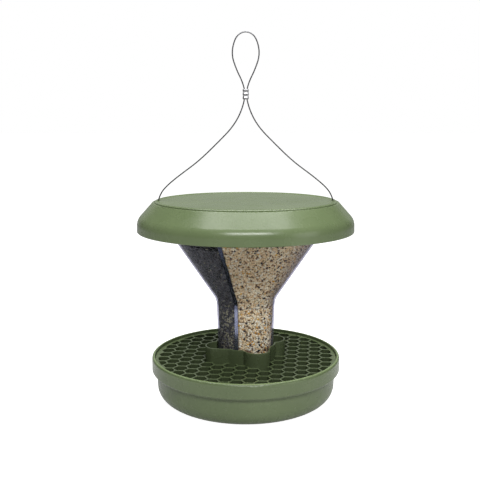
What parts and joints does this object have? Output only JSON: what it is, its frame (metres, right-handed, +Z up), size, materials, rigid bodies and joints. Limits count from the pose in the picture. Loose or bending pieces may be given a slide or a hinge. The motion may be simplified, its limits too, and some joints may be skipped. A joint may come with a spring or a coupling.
{
  "type": "hanging bird feeder",
  "caption": "Hanging bird feeder: dish roof, clear two-compartment funnel hopper, round tray with a honeycomb perch grid and scalloped seed cups, on a wire loop.",
  "frame": {"origin": "centre of the tray's flat base", "axes": "+Z up along the feeder's axis, +X to the right along the line between the two wire slots, -Y to the front"},
  "size_m": [0.2506, 0.2506, 0.4243],
  "materials": {
    "green_plastic": "satin moulded polypropylene",
    "clear_plastic": "clear, glossy",
    "dark_plastic": "dark, glossy",
    "wire_rope": "stranded steel wire",
    "crimped_metal": "pressed, satin"
  },
  "bodies": {
    "hopper": {"hopper_cone": "clear_plastic", "hopper_neck": "clear_plastic", "hopper_divider": "dark_plastic", "end_stop_left": "crimped_metal", "end_stop_right": "crimped_metal", "hanger_tail_left": "wire_rope", "hanger_tail_right": "wire_rope", "hanger_leg_left": "wire_rope", "hanger_leg_right": "wire_rope", "loop_ferrule": "crimped_metal", "hanger_loop": "wire_rope"},
    "roof": {"roof_top": "green_plastic", "roof_skirt": "green_plastic", "roof_ring_front": "green_plastic", "roof_ring_back": "green_plastic"},
    "tray": {"tray_floor": "green_plastic", "tray_bowl": "green_plastic", "tray_rim": "green_plastic", "neck_socket": "green_plastic"},
    "grid": {"perch_grid": "green_plastic", "seed_collar": "green_plastic"}
  },
  "joints": [
    {"name": "roof_lift", "type": "slide", "parent": "hopper", "child": "roof", "axis": [0, 0, 1], "range_m": [0, 0.05], "deforming": ["hanger_leg_left", "hanger_leg_right", "hanger_tail_left", "hanger_tail_right"]},
    {"name": "tray_turn", "type": "hinge", "parent": "hopper", "child": "tray", "pos_m": [0, 0, 0], "axis": [0, 0, 1], "range_deg": [0, 30]},
    {"name": "grid_lift", "type": "slide", "parent": "tray", "child": "grid", "axis": [0, 0, 1], "range_m": [0, 0.028]}
  ]
}
